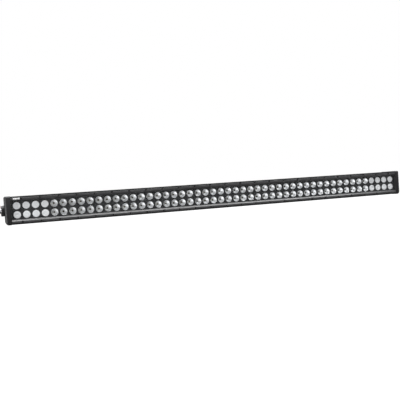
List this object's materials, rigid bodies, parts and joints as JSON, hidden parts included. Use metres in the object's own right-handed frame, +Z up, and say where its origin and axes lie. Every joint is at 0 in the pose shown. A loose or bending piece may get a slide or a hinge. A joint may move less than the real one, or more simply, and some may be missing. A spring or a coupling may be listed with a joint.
{
  "type": "led light bar",
  "caption": "Long straight double-row LED light bar with a finned housing, bolted bezel rails and a swivel bracket at each end.",
  "frame": {"origin": "midway between the slots of the two feet, on the plane that the feet bolt to", "axes": "+X along the bar, to the right when looking at the lens; -Y out of the lens; +Z up"},
  "size_m": [1.338, 0.109, 0.08],
  "materials": {
    "black_powder_coat": "fine-textured satin powder coat on extruded aluminium",
    "bezel_black": "satin powder coat on aluminium",
    "cap_black": "satin powder coat on cast aluminium",
    "bracket_black": "satin powder coat on bent steel bar",
    "black_steel": "black-oxide steel",
    "steel": "zinc-plated steel",
    "clear_lens": "clear polycarbonate sheet",
    "black_rubber": "matt silicone",
    "grey_silicone": "soft thermal pad",
    "orange_silicone": "soft silicone",
    "mask_black": "moulded, finely textured",
    "chrome_reflector": "vacuum-metallised",
    "frosted_optic": "frosted clear acrylic",
    "board_black": "black solder mask on an aluminium-core board",
    "board_green": "green solder mask",
    "emitter_smoke": "unlit die under a clear dome",
    "copper": "bare copper strip",
    "ferrite": "ferrite body",
    "capacitor_black": "sleeved can",
    "red_wire": "wire insulation",
    "cable_black": "matt cable sheath",
    "nylon_black": "moulded nylon",
    "tinned_brass": "tinned contact",
    "badge_grey": "blank, satin, no marking"
  },
  "bodies": {
    "light_bar": {"housing": "black_powder_coat", "upper_bezel_rail": "bezel_black", "lower_bezel_rail": "bezel_black", "upper_bezel_screws": "black_steel", "lower_bezel_screws": "black_steel", "front_lens": "clear_lens", "lens_gasket": "black_rubber", "reflector_mask": "mask_black", "spot_reflectors": "chrome_reflector", "left_flood_optics": "frosted_optic", "right_flood_optics": "frosted_optic", "thermal_pads": "grey_silicone", "led_boards": "board_black", "led_emitters": "emitter_smoke", "board_screws": "steel", "board_links": "copper", "driver_board": "board_green", "driver_coils": "ferrite", "driver_capacitors": "capacitor_black", "led_feed_leads": "red_wire", "driver_supply_leads": "red_wire", "left_end_cap": "cap_black", "right_end_cap": "cap_black", "left_cap_gasket": "black_rubber", "right_cap_gasket": "black_rubber", "left_cap_screws": "black_steel", "right_cap_screws": "black_steel", "left_pivot_insert": "steel", "right_pivot_insert": "steel", "left_friction_washer": "nylon_black", "right_friction_washer": "nylon_black", "left_lock_washer": "steel", "right_lock_washer": "steel", "left_pivot_bolt": "black_steel", "right_pivot_bolt": "black_steel", "cable_gland": "nylon_black", "gland_washer": "black_rubber", "gland_lock_nut": "nylon_black", "gland_seal": "black_rubber", "gland_cap": "nylon_black", "power_cable": "cable_black", "plug_housing": "nylon_black", "plug_seal": "orange_silicone", "plug_pins": "tinned_brass", "vent_seal": "black_rubber", "breather_vent": "nylon_black", "blank_badge": "badge_grey"},
    "left_swivel": {"left_bracket": "bracket_black"},
    "right_swivel": {"right_bracket": "bracket_black"}
  },
  "joints": [
    {"name": "left_bracket_tilt", "type": "hinge", "parent": "light_bar", "child": "left_swivel", "pos_m": [-0.659, -0.07, 0], "axis": [1, 0, 0], "range_deg": [-90, 90]},
    {"name": "right_bracket_tilt", "type": "hinge", "parent": "light_bar", "child": "right_swivel", "pos_m": [0.659, -0.07, 0], "axis": [1, 0, 0], "range_deg": [-90, 90]}
  ]
}
